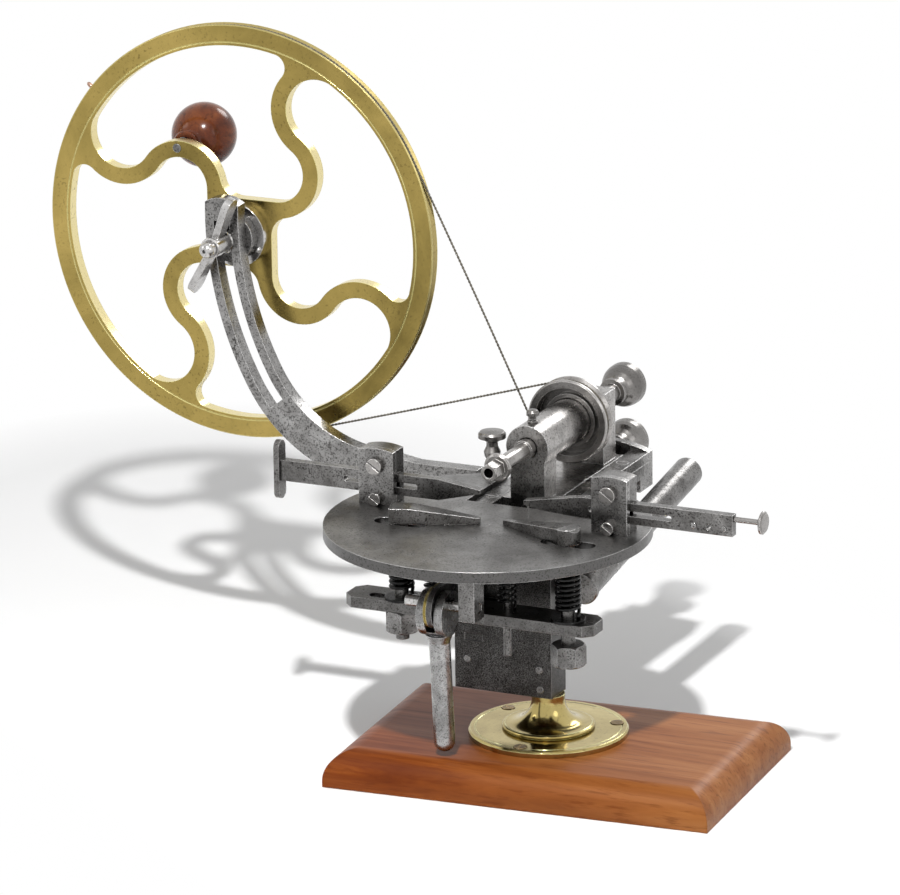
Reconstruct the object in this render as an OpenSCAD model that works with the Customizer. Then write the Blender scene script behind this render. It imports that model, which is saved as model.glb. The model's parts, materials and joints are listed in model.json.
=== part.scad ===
/* [Base] */
// Length of the wooden board along its front edge
board_l = 176; // [150:1:220]
// Width of the wooden board, front to back
board_w = 112; // [100:1:140]
// Thickness of the wooden board
board_h = 15.5; // [12:0.5:24]
// Radius of the quarter-round moulding along the top edges
board_moulding = 12.6; // [6:0.1:14]
// Turn of the board about the upright, against the machine above it
board_turn = 3.6; // [0:0.1:8]

/* [Pedestal] */
// Place of the pedestal along X
pedestal_x = -5; // [-7:0.5:-4]
// Place of the pedestal along Y
pedestal_y = 1.5; // [-4:0.5:4]
// Diameter of the pedestal flange
flange_d = 70; // [60:1:80]
// Thickness of the pedestal flange
flange_t = 3; // [2:0.5:5]
// Height from the board to the column
pedestal_h = 18; // [14:0.5:24]
// Diameter of the neck where it meets the column
neck_d = 14.6; // [12:0.2:18]
// Diameter of the foot of the neck
neck_foot_d = 36; // [28:1:44]
// Pitch circle diameter of the flange screws
flange_pcd = 60; // [52:1:62]
// Number of flange screws
flange_screws = 3; // [3:1:6]

/* [Column] */
// Width of the column along X
column_w = 46; // [42:1:50]
// Depth of the column along Y
column_d = 15; // [13:0.5:18]
// Height of the column, pedestal to table
column_h = 75.5; // [68:0.5:84]
// Depth of the recess in the upper front face
column_recess = 8; // [4:0.5:10]

/* [Table] */
// Place of the table centre along X
table_x = -25; // [-28:0.5:-22]
// Place of the table centre along Y
table_y = -15.6; // [-18:0.2:-14]
// Diameter of the round table
table_d = 142; // [138:1:146]
// Thickness of the round table
table_t = 5; // [4:0.5:7]
// Length of the bolt slots in the table
table_slot_l = 25; // [20:1:28]

/* [Clamp] */
// Distance from the table centre forward to the clamp bar
clamp_forward = 11.4; // [10:0.2:13]
// Length of the clamp bar
bar_l = 117; // [110:1:124]
// Width of the clamp bar
bar_w = 17.4; // [15:0.2:19]
// Thickness of the clamp bar
bar_t = 5; // [4:0.5:6]
// Distance from the table underside down to the bar's lower face
bar_drop = 34.7; // [33:0.1:38]
// Distance between the two finger bolts
bolt_span = 78.4; // [76:0.2:82]
// Diameter of the finger bolts
bolt_d = 6; // [5:0.5:7]
// Width of the hex nuts across the corners
nut_d = 15.6; // [14:0.2:17]
// Height of the hex nuts
nut_h = 9.5; // [7:0.5:10]
// Slack below the bar at the right nut
right_slack = 5.5; // [2:0.5:7]
// Wire diameter of the clamp springs
spring_wire = 1.7; // [1.4:0.1:1.9]
// Outer diameter of the clamp springs
spring_d = 11.4; // [10.8:0.2:13]
// Turns in each clamp spring
spring_turns = 10; // [7:1:10]
// Diameter of the guide pins
guide_d = 3.6; // [3:0.2:4]
// Wire diameter of the guide springs
guide_wire = 1.2; // [0.8:0.1:1.3]
// Outer diameter of the guide springs
guide_spring_d = 8.4; // [7.6:0.2:9]
// Length of the left finger from bolt to tip
left_reach = 34.4; // [28:0.2:38]
// Length of the right finger from bolt to tip
right_reach = 38; // [30:0.2:40]
// Height of the left finger at its bolt
finger_h = 7; // [5:0.5:8]
// Height of the rounded right finger at its bolt
round_finger_h = 6.8; // [6:0.2:9]

/* [Cam lever] */
// Distance from the clamp bar's middle forward to the lever
lever_forward = 21; // [20.5:0.1:23]
// Distance from the table underside down to the cam pin
lever_drop = 23.2; // [22:0.1:25]
// Diameter of the cam pin
cam_pin_d = 5; // [4:0.2:5.4]
// Throw of the eccentric between the fork's cheeks
cam_throw = 2.5; // [1.5:0.1:2.5]
// Diameter of the eccentric
cam_d = 12; // [11.4:0.2:12.4]
// Diameter of the fork's round cheeks
cheek_d = 20; // [19:0.5:22]
// Drop of the cheeks' centre below the cam pin
cheek_drop = 4; // [3:0.5:5]
// Width of the slot in the fork
fork_slot = 4.6; // [4.4:0.1:5.2]
// Thickness of each cheek
cheek_t = 3.8; // [3.2:0.1:4.4]
// Diameter of the lever's handle
handle_d = 9.2; // [7:0.2:10]
// Length of the lever from the cam pin to its rounded end
lever_l = 68.4; // [50:0.2:69]

/* [Tool slides] */
// Distance of each post from the table centre
post_offset = 55; // [50:0.5:56]
// Width of the posts along X
post_w = 16.6; // [14:0.2:18]
// Depth of the post behind its cap
post_d = 7.7; // [6.5:0.1:9]
// Thickness of the caps on the posts
cap_t = 3; // [2:0.2:4]
// Height of the posts
post_h = 25.4; // [23:0.2:30]
// Distance of the posts' front faces behind the table centre
post_behind = 4; // [3:0.2:5]
// Height of the slide bars
slide_h = 9.4; // [8:0.2:10]
// Thickness of the slide bars
slide_t = 4; // [3:0.1:4.5]
// Height of the slide bars' middle above the table
slide_z = 9.2; // [9:0.1:10]
// Length of the left slide bar
left_slide_l = 96; // [90:1:104]
// Length of the right slide bar
right_slide_l = 97; // [90:1:104]
// Height of the slots along the slide bars
slide_slot = 2.4; // [2:0.1:3]
// Diameter of the plunger rod
plunger_d = 2.4; // [1.6:0.1:2.6]
// Diameter of the plunger's button
button_d = 10; // [8:0.5:12]

/* [Headstock] */
// Height of the spindle above the table
spindle_z = 21.4; // [20.4:0.1:24]
// Distance of the headstock's front face behind the table centre
headstock_behind = 41.6; // [40:0.2:44]
// Width of the headstock's front upright
upright_w = 20; // [18:0.5:22]
// Thickness of the front upright
upright_t = 12.6; // [10:0.2:14]
// Thickness of the rear upright
rear_upright_t = 13; // [10:0.5:15]
// Distance from the front face to the rear upright
rear_upright_at = 60; // [59:0.5:62]
// Diameter of the spindle's slim front shaft
shaft_d = 7.2; // [6:0.2:7.6]
// Diameter of the spindle's journals
journal_d = 9; // [8:0.2:9.6]
// Diameter of the bore in the spindle's nose
nose_bore_d = 4.4; // [3.6:0.1:4.8]
// Depth of the bore in the spindle's nose
nose_bore_l = 12; // [6:1:20]
// Diameter of the pulley
pulley_d = 38; // [36:0.5:40]
// Width of the slide under the headstock
carriage_w = 24; // [22:0.5:26]
// Thickness of the slide under the headstock
carriage_t = 9; // [8:0.5:10]
// Width of the rails beside the slide
rail_w = 9; // [8:0.5:10]
// Thickness of the bed below the slide
bed_t = 7; // [5:0.5:9]
// Depth of the bed's top below the table top
bed_below = 2; // [1:0.5:3]
// Length of the bed behind the column
bed_l = 102; // [100:1:110]
// Diameter of the feed screw
feed_d = 5; // [4:0.2:5.4]
// Diameter of the knobs
knob_d = 20; // [18:0.5:22]

/* [Wheel] */
// Diameter of the hand wheel
wheel_d = 190; // [186:1:194]
// Width of the wheel's rim
rim_w = 9.4; // [8:0.2:11]
// Thickness of the wheel
wheel_t = 5.8; // [5:0.2:7]
// Width of the wheel's spokes
spoke_w = 7.4; // [6:0.1:9]
// Radius of the spokes' outer bends
spoke_bend = 18.9; // [18:0.1:20]
// Diameter of the wheel's axle
axle_d = 7.4; // [6:0.2:7.6]
// Diameter of the hub plate
hub_plate_d = 29; // [26:1:30]
// Thickness of the hub plate
hub_plate_t = 4.6; // [3:0.2:6]
// Thickness of the collar between arm and hub plate
collar_t = 5; // [3:0.2:6]
// Diameter of the ball knob
ball_d = 29.6; // [26:0.2:32]
// Distance of the ball knob's axis from the wheel's centre
ball_at = 47.2; // [45:0.2:50]
// Diameter of the drive cord
cord_d = 1.1; // [0.9:0.1:1.3]

/* [Wheel arm] */
// Thickness of the arm
arm_t = 7; // [5:0.2:8]
// Width of the arm
arm_w = 16.3; // [15.5:0.1:18]
// Width of the arm's slot
arm_slot = 7.8; // [7.7:0.1:8.4]
// Radius of the arm's long upper curve
arm_r = 154.75; // [150:0.25:160]
// Radius of the arm's lower bend
arm_bend_r = 68.7; // [64:0.1:72]
// Angle where the bend meets the upper curve
arm_bend_angle = 208; // [206:0.5:210]
// Angle of the wheel's axle along the upper curve
axle_angle = 184.2; // [183:0.1:186]
// Height of the arm's foot
foot_h = 11.4; // [10:0.2:13]

/* [Rear handle] */
// Diameter of the rear handle
rear_handle_d = 13.4; // [11:0.2:14]
// Length of the rear handle
rear_handle_l = 123; // [100:1:126]
// Slope of the rear handle
rear_handle_slope = 9.1; // [8:0.1:10]

/* [Hidden] */
$fn = 96;

// Clearances: running fits, seated fits, and open gaps between moving pieces
run_gap = 0.05;
seat_gap = 0.02;
air_gap = 0.3;
eps = 0.01;

// Levels
board_top = board_h;
column_z = board_top + pedestal_h;
table_z0 = column_z + column_h;
table_z1 = table_z0 + table_t;

// Column faces, with the pedestal near its right end
column_x = table_x + 2;
column_front = pedestal_y - column_d / 2;
column_back = pedestal_y + column_d / 2;
spigot_r = 3;
pin_r = 1.6;
pin_l = column_d / 2 - spigot_r - 1;
spigot_l = 9;

// Clamp bar, bolts and guides
clamp_y = table_y - clamp_forward;
bar_x = table_x - 2;
bar_z0 = table_z0 - bar_drop;
bar_z1 = bar_z0 + bar_t;
bolt_mid = table_x + 4.4;
bolt_y = clamp_y - 2.5;
bolt_xs = [bolt_mid - bolt_span / 2, bolt_mid + bolt_span / 2];
washer_t = 1.2;
washer_d = spring_d + 3.6;
finger_seat = 0.1;
finger_z = table_z1 + finger_seat;
finger_turns = [17.5, 159.5];
table_slot_w = bolt_d + 3;
table_slot_y = bolt_y - 1;
bolt_top = finger_z + 3;
nut_tops = [bar_z0, bar_z0 - right_slack];
guide_mid = bar_x - 2.5;
guide_span = 35;
guide_xs = [guide_mid - guide_span / 2, guide_mid + guide_span / 2];
guide_y = clamp_y + 2;
guide_low = bar_z0 - 16;
guide_seat = table_t * 0.6;

// Cam lever on its pin, and the link that it lifts
lever_y = clamp_y - lever_forward;
lever_x = bar_x - 7;
cam_z = table_z0 - lever_drop;
fork_w = fork_slot + 2 * cheek_t;
cam_rest = 210;
cam_y = lever_y + cam_throw * cos(cam_rest);
cam_rest_z = cam_z + cam_throw * sin(cam_rest);
cam_gap = 0.1;
link_t = 2.6;
liner_t = 1.3;
link_x = lever_x - fork_slot / 2 + 0.3 + liner_t;
link_eye_r = cam_d / 2 + 3.1;
link_back = clamp_y - bar_w / 2 + 6;
fork_floor = cam_z - link_eye_r - cam_throw / 2 - 0.95;
hanger_w = 7.4;
hanger_d = 10;
hanger_low = cam_z - 5.2;
hanger_x = lever_x + fork_w / 2 + 5.8;
stub_l = 8.6;
handle_tilt = 4.5;

// Posts and slides
post_y = table_y + post_behind;
post_back = post_y + cap_t + post_d;
post_xs = [table_x - post_offset, table_x + post_offset];
groove_t = slide_t + 2 * run_gap;
slide_y = post_y + cap_t + groove_t / 2;
slide_mid = table_z1 + slide_z;
screw_zs = [2.9, slide_z + slide_h / 2 + 3.8];
screw_r = 1.3;
screw_head_r = 2.85;
big_head = 1.28;
screw_head_t = 2.6;
left_end = table_x - 102.7;
left_tip = left_end + left_slide_l;
right_end = table_x + 110.7;
right_tip = right_end - right_slide_l;
cross_t = 2.6;
cross_h = 26.5;
cross_d = 6.8;
plunger_z = slide_mid + slide_h / 2 - 2.1;
plunger_in = 13.7;
plunger_out = 11.3;
plunger_bore = 23;
rivet_xs = [right_end - 18, right_end - 4];
rivet_z = slide_mid - 1.6;
rivet_r = 1.2;

// Headstock, bed and spindle
axis_z = table_z1 + spindle_z;
front_y = table_y + headstock_behind;
bed_z1 = table_z1 - bed_below;
bed_z0 = bed_z1 - carriage_t - bed_t;
carriage_z0 = bed_z1 - carriage_t;
gib_t = 4.4;
flange_lip = 3;
bed_w = carriage_w + 2 * rail_w;
bed_y1 = column_back + bed_l;
end_plate_t = 4;
rear_y = front_y + rear_upright_at;
carriage_y1 = rear_y + rear_upright_t + 4;
boss_l = 33.2;
bush_lip = 2;
bush_r = journal_d / 2 + 2;
feed_z = bed_z1 - carriage_t * 0.4;
groove_y = front_y + 46.5;
pulley_front = groove_y - 4;
pulley_back = pulley_front + 14;
nose_y = table_y + 1.2;
nose_l = 8.6;
bell_l = 11;
knob_l = 35.8;
feed_knob_l = 22.6;
feed_collar_r = feed_d / 2 + 1.6;

// Wheel, arm and axle; the arm's foot is beside the bed
wheel_r = wheel_d / 2;
rim_in = wheel_r - rim_w;
wheel_front = groove_y - wheel_t / 2;
wheel_back = groove_y + wheel_t / 2;
arm_back = wheel_front - hub_plate_t - collar_t - 0.2;
arm_front = arm_back - arm_t;
foot_z0 = bed_z1 - foot_h + 1.2;
foot_mid = foot_z0 + foot_h / 2;
bend_x = table_x - 81.3;
bend_c = [bend_x, foot_mid + arm_bend_r];
curve_dir = [cos(arm_bend_angle), sin(arm_bend_angle)];
curve_c = bend_c - (arm_r - arm_bend_r) * curve_dir;
axle_xz = curve_c + arm_r * [cos(axle_angle), sin(axle_angle)];
crown_r = 14;
crown_lift = [-0.8, 6];
slot_end_angle = arm_bend_angle + 11;
thumb_x = table_x - carriage_w / 2 - rail_w - 9.6;
foot_end = thumb_x - 6;
tongue_h = 4;
bracket_h = 8;
bracket_x0 = thumb_x - 9;
wing_l = 13;
wing_t = 3.2;
axle_front = arm_front - wing_l - 5;
hub_r = 15.2;
ball_angle = 130.2;
ball_xz = axle_xz + ball_at * [cos(ball_angle), sin(ball_angle)];
ball_neck = 8;
ball_y = wheel_back + ball_neck + ball_d / 2 - 1.6;

// Spoke curve: an inner and an outer bend that meet tangentially
spoke_in_at = rim_in * 0.405;
spoke_in_angle = 57.4;
spoke_in = spoke_in_at * [cos(spoke_in_angle), sin(spoke_in_angle)];
spoke_out_at = rim_in + 0.2 - spoke_bend + spoke_w / 2;
spoke_out_angle = 56;
spoke_out = spoke_out_at * [cos(spoke_out_angle), sin(spoke_out_angle)];
spoke_join = atan2(spoke_out[1] - spoke_in[1], spoke_out[0] - spoke_in[0]);
spoke_in_r = norm(spoke_out - spoke_in) - spoke_bend;
rim_fillet = 6;
hub_fillet = 9;

// Crossed cord between the two grooves
cord_r = cord_d / 2;
cord_seat = 0.22;
cord_wheel_r = wheel_r - 0.8;
cord_pulley_r = pulley_d / 2 - 1;
pulley_xz = [table_x, axis_z];
cord_span = norm(pulley_xz - axle_xz);
cord_lean = atan2(pulley_xz[1] - axle_xz[1], pulley_xz[0] - axle_xz[0]);
cord_off = acos((cord_wheel_r + cord_pulley_r) / cord_span);
cord_from = cord_lean + cord_off;
cord_to = cord_lean - cord_off;
cord_wrap = 360 - 2 * cord_off;
cord_cross = 180 * cord_wheel_r / (cord_wheel_r + cord_pulley_r);
cord_sway = (cord_d + 0.6) / 2 / sin(cord_cross);

// Rear handle
column_right = column_x + column_w / 2;
rear_x = column_right + rear_handle_d / 2 + 3.6;
rear_front = [rear_x, column_back - 6.5, table_z0 - 26.4];
lug_y = column_back - 3;

// Cylinder along Y between two places
module bar_y(r, y0, y1) {
    translate([0, y0, 0]) rotate([-90, 0, 0]) cylinder(r = r, h = y1 - y0);
}

// Cylinder along X between two places
module bar_x(r, x0, x1) {
    translate([x0, 0, 0]) rotate([0, 90, 0]) cylinder(r = r, h = x1 - x0);
}

// Solid of revolution about Y from points of radius and place
module turned_y(points) {
    rotate([-90, 0, 0]) rotate_extrude() polygon(points);
}

// Plate in the XZ plane between two Y places
module plate_y(y0, y1) {
    translate([0, y1, 0]) rotate([90, 0, 0]) linear_extrude(y1 - y0) children();
}

// Plate in the YZ plane between two X places
module plate_x(x0, x1) {
    translate([x0, 0, 0]) rotate([90, 0, 90]) linear_extrude(x1 - x0) children();
}

// Box given by its two corners
module block(low, high) {
    translate(low) cube(high - low);
}

// Outline with a flat base and a shallow arched crown
module arched(w, h, rise) {
    crown = (w * w / 4 + rise * rise) / (2 * rise);
    intersection() {
        translate([-w / 2, 0]) square([w, h]);
        translate([0, h - crown]) circle(crown);
    }
}

// Fan-shaped outline that covers a sector
module sector(r, a0, a1) {
    steps = 6;
    fan = [for (i = [0 : steps]) 2 * r * [cos(a0 + (a1 - a0) * i / steps), sin(a0 + (a1 - a0) * i / steps)]];
    polygon(concat([[0, 0]], fan));
}

// Curved strip of even width about a centre
module strip(c, r, w, a0, a1) {
    translate(c) intersection() {
        difference() {
            circle(r + w / 2);
            circle(r - w / 2);
        }
        sector(r + w, a0, a1);
    }
}

// Slot outline with round ends along X
module slot(l, w) {
    square([l - w, w], center = true);
    for (side = [-1, 1]) translate([side * (l - w) / 2, 0]) circle(w / 2);
}

// Cheese-head screw lying along Y, with its head in front of a face
module face_screw(l, head_r) {
    difference() {
        bar_y(head_r, -screw_head_t, 0);
        rotate([0, 35, 0]) translate([0, -screw_head_t, 0]) cube([4 * head_r, 1.8, 0.8], center = true);
    }
    bar_y(screw_r, -eps, l);
}

// Tube through a list of points, given its sideways direction at each point
function unit(v) = v / norm(v);
function ring(p, t, side, r, n) =
    [for (k = [0 : n - 1]) p + r * (cos(360 * k / n) * side + sin(360 * k / n) * unit(cross(t, side)))];
function wall_faces(rings, n, closed) =
    [for (i = [0 : rings - (closed ? 1 : 2)]) for (k = [0 : n - 1])
        let (a = i * n + k, b = i * n + (k + 1) % n, c = ((i + 1) % rings) * n)
        each [[a, c + k, b], [b, c + k, c + (k + 1) % n]]];
function cap_faces(first, n, turn) =
    [for (k = [1 : n - 2]) turn ? [first, first + k + 1, first + k] : [first, first + k, first + k + 1]];

// Helical spring: points climb from z0 to z1 with upright ends one wire long
spring_rings = 8;
spring_sides = 6;
function spring_points(r, wire, turns, z0, z1) =
    let (low = z0 + 1.9 * wire, high = z1 - 1.9 * wire, n = turns * spring_rings)
    concat(
        [[r, 0, z0], [r, 0, z0 + wire]],
        [for (i = [1 : n - 1]) let (a = 360 * i / spring_rings)
            [r * cos(a), r * sin(a), low + (high - low) * i / n]],
        [[r, 0, z1 - wire], [r, 0, z1]]
    );
function spring_tangent(p, i) =
    let (last = len(p) - 1)
    i < 1 || i > last - 1 ? [0, 0, 1] : unit(unit(p[i + 1] - p[i]) + unit(p[i] - p[i - 1]));
function spring_gap(p, wire) =
    min([for (i = [0 : len(p) - 1]) for (j = [i + 4 : 1 : min(len(p) - 1, i + 12)]) norm(p[i] - p[j])]) - wire;

module spring(r, wire, turns, z0, z1) {
    p = spring_points(r, wire, turns, z0, z1);
    n = len(p);
    echo(str("least gap between spring turns: ", spring_gap(p, wire)));
    polyhedron(
        points = [for (i = [0 : n - 1])
            each ring(p[i], spring_tangent(p, i), unit([p[i][0], p[i][1], 0]), wire / 2, spring_sides)],
        faces = concat(
            wall_faces(n, spring_sides, false),
            cap_faces(0, spring_sides, false),
            cap_faces((n - 1) * spring_sides, spring_sides, true)
        )
    );
}

// Turned knob along Y: beaded neck, bell and domed face
module knob(l, d, bore_r) {
    r = d / 2;
    rim = l - 3;
    bead = rim - bell_l - 1.6;
    dome = [for (a = [25 : 13 : 90]) [r * sin(a), rim - bell_l * cos(a)]];
    difference() {
        turned_y(concat(
            [[0, 0], [r * 0.42, 0], [r * 0.42, bead - 1.8], [r * 0.62, bead - 1.2], [r * 0.62, bead + 0.6],
             [r * 0.42, bead + 1.2], [r * 0.42, rim - bell_l * 0.92]],
            dome,
            [[r, rim], [r - 0.4, rim + 0.3], [r, rim + 0.6], [r, rim + 1.8], [r - 1, rim + 2.4], [0, l]]
        ));
        bar_y(bore_r, -1, l * 0.7);
    }
}

// Base

module board_profile(l) {
    r = board_moulding;
    translate([-l / 2, 0]) square([l, board_h - r]);
    translate([-l / 2 + r, 0]) square([l - 2 * r, board_h]);
    for (side = [-1, 1]) translate([side * (l / 2 - r), board_h - r]) circle(r);
}

module base_board() {
    color("saddlebrown") rotate([0, 0, board_turn]) difference() {
        intersection() {
            plate_y(-board_w / 2, board_w / 2) intersection() {
                board_profile(board_l);
                translate([-board_l, 0]) square([2 * board_l, board_h]);
            }
            plate_x(-board_l / 2, board_l / 2) intersection() {
                board_profile(board_w);
                translate([-board_l, 0]) square([2 * board_l, board_h]);
            }
        }
        rotate([0, 0, -board_turn]) at_flange_screws() cylinder(r = screw_r + seat_gap, h = 30, center = true);
    }
}

module at_flange_screws() {
    for (i = [0 : flange_screws - 1])
        translate([pedestal_x, pedestal_y, board_top])
            rotate([0, 0, -90 + 360 * i / flange_screws]) translate([flange_pcd / 2, 0, 0]) children();
}

module pedestal() {
    foot = neck_foot_d / 2;
    neck = neck_d / 2;
    bead_h = 2;
    rise = pedestal_h - flange_t - bead_h;
    cove = min(foot - neck, rise);
    color("gold") difference() {
        translate([pedestal_x, pedestal_y, board_top]) {
            rotate_extrude() {
                difference() {
                    square([flange_d / 2, flange_t]);
                    translate([flange_d / 2 - 3.2, flange_t - 0.25]) square([0.5, 1]);
                    translate([flange_d / 2, flange_t]) rotate(45) square(1.2, center = true);
                }
                translate([0, flange_t - eps]) square([foot + 1.4, bead_h / 2]);
                translate([foot + 1.4, flange_t + bead_h / 2 - eps]) circle(bead_h / 2 - 0.1);
                translate([0, flange_t]) square([foot + 1, bead_h]);
                difference() {
                    translate([0, flange_t + bead_h - eps]) square([foot, rise + eps]);
                    translate([neck + cove, flange_t + bead_h + cove]) circle(cove);
                    translate([neck, flange_t + bead_h + cove]) square([foot, pedestal_h]);
                }
            }
            cylinder(r = spigot_r, h = pedestal_h + spigot_l);
        }
        at_flange_screws() {
            translate([0, 0, -1]) cylinder(r = screw_r + seat_gap, h = flange_t + 2);
            translate([0, 0, flange_t - 1]) cylinder(r = screw_head_r + 0.3, h = 5);
        }
    }
}

module pedestal_screws() {
    color("peru") at_flange_screws() difference() {
        union() {
            translate([0, 0, flange_t - 1 + seat_gap]) cylinder(r = screw_head_r, h = 1.3);
            translate([0, 0, -9]) cylinder(r = screw_r, h = flange_t + 8.5);
        }
        translate([0, 0, flange_t + 0.5]) cube([8, 0.8, 1.2], center = true);
    }
}

// Column

module column() {
    half = column_w / 2;
    color("dimgray") difference() {
        block([column_x - half, column_front, column_z], [column_x + half, column_back, table_z0]);
        block(
            [column_x - half + 10, column_front - 1, bar_z0 - 1],
            [column_x + half - 18, column_front + column_recess, table_z0 + 1]
        );
        translate([column_x - half + 9, column_front, bar_z0 - 17])
            rotate([90, 0, 0]) cube([8.4, 3.4, 0.8], center = true);
        at_column_pins() bar_y(pin_r + seat_gap, -1, pin_l + seat_gap);
        translate([pedestal_x, pedestal_y, column_z - 1]) cylinder(r = spigot_r + seat_gap, h = spigot_l + 2);
    }
}

module at_column_pins() {
    spots = [[17.2, 12.6], [-17, 13.6], [17.6, 3.6]];
    for (s = spots) translate([column_x + s[0], column_front, column_z + s[1]]) children();
}

module column_pins() {
    color("gray") at_column_pins() bar_y(pin_r, -0.3, pin_l);
}

// Table

module table() {
    r = table_d / 2;
    color("silver") difference() {
        translate([table_x, table_y, table_z0]) cylinder(r = r, h = table_t);
        block(
            [table_x - bed_w / 2 - 0.5, column_back, table_z0 - 1],
            [table_x + bed_w / 2 + 0.5, table_y + r + 1, table_z1 + 1]
        );
        for (x = bolt_xs)
            translate([x + 0.6, table_slot_y, table_z0 - 1]) linear_extrude(table_t + 2) slot(table_slot_l, table_slot_w);
        at_guides() translate([0, 0, table_z0 - 1]) cylinder(r = guide_d / 2 + seat_gap, h = guide_seat + 1);
    }
}

// Clamp bar with its bolts, springs, guides and fingers

module at_guides() {
    for (x = guide_xs) translate([x, guide_y, 0]) children();
}

module clamp_bar() {
    cut = 4;
    half = bar_l / 2;
    w = bar_w / 2;
    color("darkgray") translate([bar_x, clamp_y, bar_z0]) difference() {
        linear_extrude(bar_t) polygon([
            [-half, -w + cut], [-half + cut, -w], [half - cut, -w], [half, -w + cut],
            [half, w - cut], [half - cut, w], [-half + cut, w], [-half, w - cut]
        ]);
        translate([bolt_xs[0] - bar_x - 6, bolt_y - clamp_y, -1])
            linear_extrude(bar_t + 2) slot(bolt_d + 13, bolt_d + 0.2);
        translate([bolt_xs[1] - bar_x, bolt_y - clamp_y, -1]) cylinder(r = bolt_d / 2 + 0.1, h = bar_t + 2);
        for (x = guide_xs)
            translate([x - bar_x, guide_y - clamp_y, -1]) cylinder(r = guide_d / 2 + run_gap, h = bar_t + 2);
    }
}

module finger_bolts() {
    color("dimgray") for (i = [0, 1]) {
        low = nut_tops[i] - nut_h - (i == 0 ? 3.4 : 1);
        translate([bolt_xs[i], bolt_y, low]) cylinder(r = bolt_d / 2, h = bolt_top - low);
    }
}

module bolt_nuts() {
    color("gray") for (i = [0, 1])
        translate([bolt_xs[i], bolt_y, nut_tops[i] - nut_h]) rotate([0, 0, 50 - 34 * i]) difference() {
            intersection() {
                cylinder(r = nut_d / 2, h = nut_h, $fn = 6);
                cylinder(r1 = nut_d / 2 - 0.9, r2 = nut_d / 2 - 0.9 + nut_h, h = nut_h);
                translate([0, 0, nut_h]) mirror([0, 0, 1])
                    cylinder(r1 = nut_d / 2 - 0.9, r2 = nut_d / 2 - 0.9 + nut_h, h = nut_h);
            }
            translate([0, 0, -1]) cylinder(r = bolt_d / 2 + seat_gap, h = nut_h + 2);
        }
}

module spring_washers() {
    color("black") for (x = bolt_xs) translate([x, bolt_y, bar_z1]) difference() {
        cylinder(r = washer_d / 2, h = washer_t);
        translate([0, 0, -1]) cylinder(r = bolt_d / 2 + seat_gap, h = washer_t + 2);
    }
}

module clamp_springs() {
    color("black") for (x = bolt_xs) translate([x, bolt_y, 0])
        spring(spring_d / 2 - spring_wire / 2, spring_wire, spring_turns, bar_z1 + washer_t, table_z0);
}

module guide_springs() {
    color("black") at_guides()
        spring(guide_spring_d / 2 - guide_wire / 2, guide_wire, spring_turns, bar_z1, table_z0);
}

module guide_pins() {
    color("gray") at_guides() {
        translate([0, 0, guide_low]) cylinder(r = guide_d / 2, h = table_z0 + guide_seat - guide_low - eps);
    }
}

module finger_bore() {
    translate([0, 0, -1]) cylinder(r = bolt_d / 2 + seat_gap, h = bolt_top - finger_z + 1 + seat_gap);
}

// Chisel-shaped finger: a wedge in plan and in profile
module left_finger() {
    back = 4.6;
    half = 5;
    tip_half = 1.6;
    tip_h = 2.6;
    color("lightgray") translate([bolt_xs[0], bolt_y, finger_z]) rotate([0, 0, finger_turns[0]]) difference() {
        intersection() {
            linear_extrude(finger_h) polygon([
                [-back, -half], [back, -half], [left_reach, -tip_half],
                [left_reach, tip_half], [back, half], [-back, half]
            ]);
            plate_y(-half - 1, half + 1) polygon([
                [-back, 0], [left_reach, 0], [left_reach, tip_h], [back, finger_h], [-back, finger_h]
            ]);
        }
        finger_bore();
    }
}

// Round-ended finger that tapers to a point
module right_finger() {
    half = 5.6;
    tip_half = 0.8;
    tip_h = 2;
    color("lightgray") translate([bolt_xs[1], bolt_y, finger_z]) rotate([0, 0, finger_turns[1]]) difference() {
        intersection() {
            linear_extrude(round_finger_h) {
                circle(half);
                polygon([[0, -half], [right_reach, -tip_half], [right_reach, tip_half], [0, half]]);
            }
            plate_y(-half - 1, half + 1) polygon([
                [-half, 0], [right_reach, 0], [right_reach, tip_h], [2, round_finger_h],
                [-half + 1.2, round_finger_h], [-half, round_finger_h - 1.2]
            ]);
        }
        finger_bore();
    }
}

// Cam lever

module cam_hanger() {
    color("gray") difference() {
        block(
            [hanger_x, lever_y - hanger_d / 2, hanger_low],
            [hanger_x + hanger_w, lever_y + hanger_d / 2, table_z0]
        );
        translate([0, lever_y, cam_z]) bar_x(cam_pin_d / 2 + seat_gap, hanger_x - 1, hanger_x + hanger_w + 1);
    }
}

module cam_pin() {
    color("silver") translate([0, lever_y, cam_z])
        bar_x(cam_pin_d / 2, lever_x - fork_w / 2 - stub_l, hanger_x + hanger_w - 0.5);
}

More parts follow.
